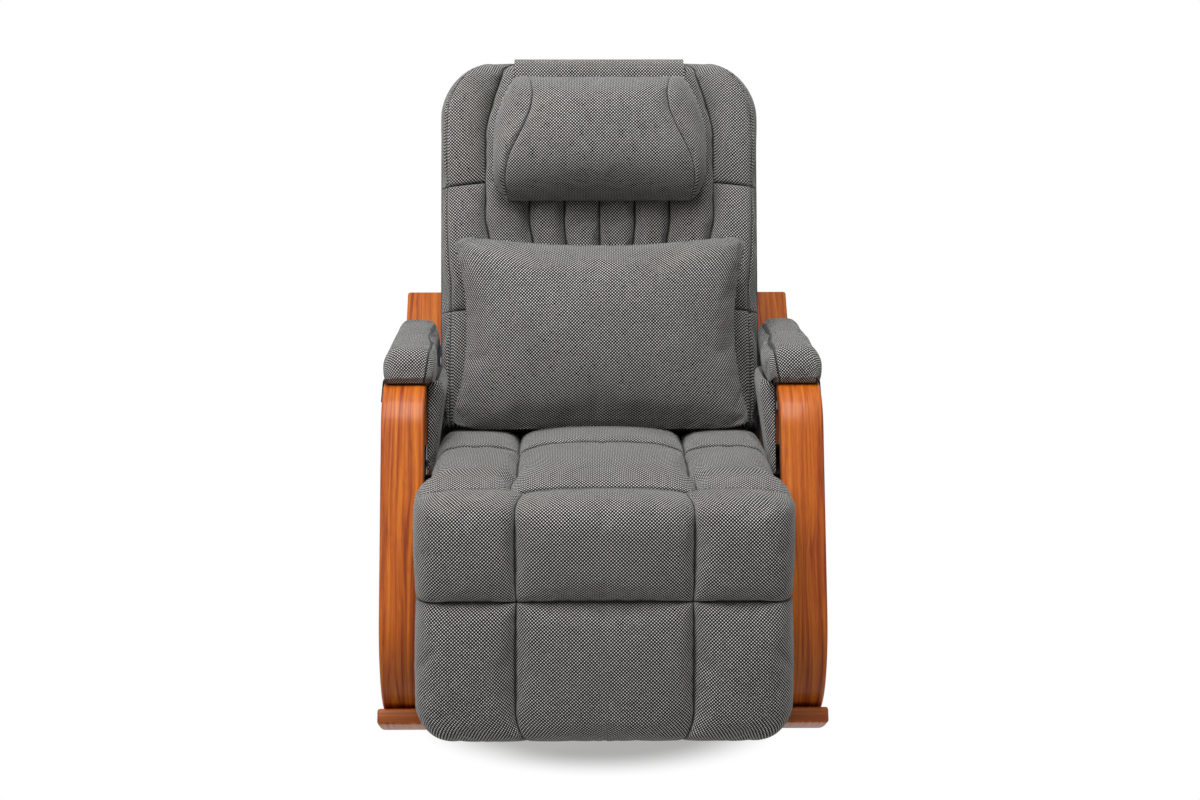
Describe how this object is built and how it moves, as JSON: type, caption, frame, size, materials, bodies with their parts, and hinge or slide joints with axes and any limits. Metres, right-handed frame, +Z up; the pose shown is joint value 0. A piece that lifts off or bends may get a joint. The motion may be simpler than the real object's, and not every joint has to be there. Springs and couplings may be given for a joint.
{
  "type": "massage rocking chair",
  "caption": "Upholstered rocking armchair on bentwood sides, with a reclining back that holds a kneading drive, a folding legrest and loose pillows.",
  "frame": {"origin": "on the floor, under the middle of the chair's box", "axes": "+Z up, the chair faces -Y, +X is to the right of someone who looks at its front"},
  "size_m": [0.689, 1.1081, 1.0621],
  "materials": {
    "bentwood": "gloss",
    "plywood": "matte",
    "weave": "matte",
    "lining": "matte",
    "black_steel": "satin",
    "bright_steel": "satin",
    "plastic": "matte",
    "rubber": "matte"
  },
  "bodies": {
    "base": {"arm_bow_left": "bentwood", "arm_bow_right": "bentwood", "rear_leg_left": "bentwood", "rear_leg_right": "bentwood", "rocker_left": "bentwood", "rocker_right": "bentwood", "side_rail_left": "bentwood", "side_rail_right": "bentwood", "front_stretcher": "bentwood", "rear_stretcher": "bentwood", "side_plate_left": "black_steel", "side_plate_right": "black_steel", "side_bolt_front_left": "bright_steel", "side_bolt_front_right": "bright_steel", "side_bolt_rear_left": "bright_steel", "side_bolt_rear_right": "bright_steel", "seat_front_tube": "black_steel", "seat_rear_tube": "black_steel", "seat_side_bar_left": "black_steel", "seat_side_bar_right": "black_steel", "seat_board": "plywood", "seat_cushion": "weave", "arm_pad_left": "weave", "arm_pad_right": "weave", "arm_flap_left": "lining", "arm_flap_right": "lining", "side_panel_left": "weave", "side_panel_right": "weave", "recline_axle": "bright_steel", "recline_ratchet_left": "black_steel", "recline_ratchet_right": "black_steel", "legrest_axle": "bright_steel", "power_box": "plastic", "power_inlet": "plastic"},
    "switch": {"power_switch": "rubber"},
    "back": {"back_upright_left": "black_steel", "back_upright_right": "black_steel", "back_lower_bar": "black_steel", "back_upper_bar": "black_steel", "back_shell": "weave", "back_cushion": "weave", "headrest_strap": "weave", "guide_rod_left": "bright_steel", "guide_rod_right": "bright_steel", "lift_motor": "black_steel"},
    "screw": {"lead_screw": "bright_steel"},
    "carriage": {"carriage_block": "plastic", "kneading_gearbox": "plastic", "kneading_motor": "bright_steel"},
    "head_left": {"kneading_head_left": "rubber"},
    "head_right": {"kneading_head_right": "rubber"},
    "headrest": {"headrest_pillow": "weave"},
    "lumbar": {"lumbar_pillow": "weave"},
    "legrest": {"legrest_board": "plywood", "legrest_hinge_left": "black_steel", "legrest_hinge_right": "black_steel", "legrest_cushion": "weave"}
  },
  "joints": [
    {"name": "back_recline", "type": "hinge", "parent": "base", "child": "back", "pos_m": [0, -0.06, 0.405], "axis": [-1, 0, 0], "range_deg": [0, 40]},
    {"name": "legrest_fold", "type": "hinge", "parent": "base", "child": "legrest", "pos_m": [0, -0.474, 0.437], "axis": [-1, 0, 0], "range_deg": [0, 80]},
    {"name": "screw_spin", "type": "hinge", "parent": "back", "child": "screw", "pos_m": [0, 0.06445, 0.73468], "axis": [0, 0.2419, 0.9703], "range_deg": [0, 2165]},
    {"name": "carriage_lift", "type": "slide", "parent": "back", "child": "carriage", "axis": [0, 0.2419, 0.9703], "range_m": [0, 0.3]},
    {"name": "knead_left", "type": "hinge", "parent": "carriage", "child": "head_left", "pos_m": [-0.06, 0.00674, 0.64086], "axis": [0, -0.9703, 0.2419], "continuous": true},
    {"name": "knead_right", "type": "hinge", "parent": "carriage", "child": "head_right", "pos_m": [0.06, 0.00674, 0.64086], "axis": [0, -0.9703, 0.2419], "continuous": true},
    {"name": "headrest_slide", "type": "slide", "parent": "back", "child": "headrest", "axis": [0, 0.2419, 0.9703], "range_m": [-0.03, 0.02]},
    {"name": "lumbar_lift_off", "type": "slide", "parent": "back", "child": "lumbar", "axis": [0, -0.9703, 0.2419], "range_m": [0, 0.06]},
    {"name": "switch_rock", "type": "hinge", "parent": "base", "child": "switch", "pos_m": [0.015, -0.0719, 0.3404], "axis": [1, 0, 0], "range_deg": [-8, 8]}
  ],
  "couplings": [
    {"joint": "screw_spin", "follows": "carriage_lift", "rad_per_m": 125.66},
    {"joint": "knead_right", "follows": "knead_left", "ratio": -1}
  ]
}
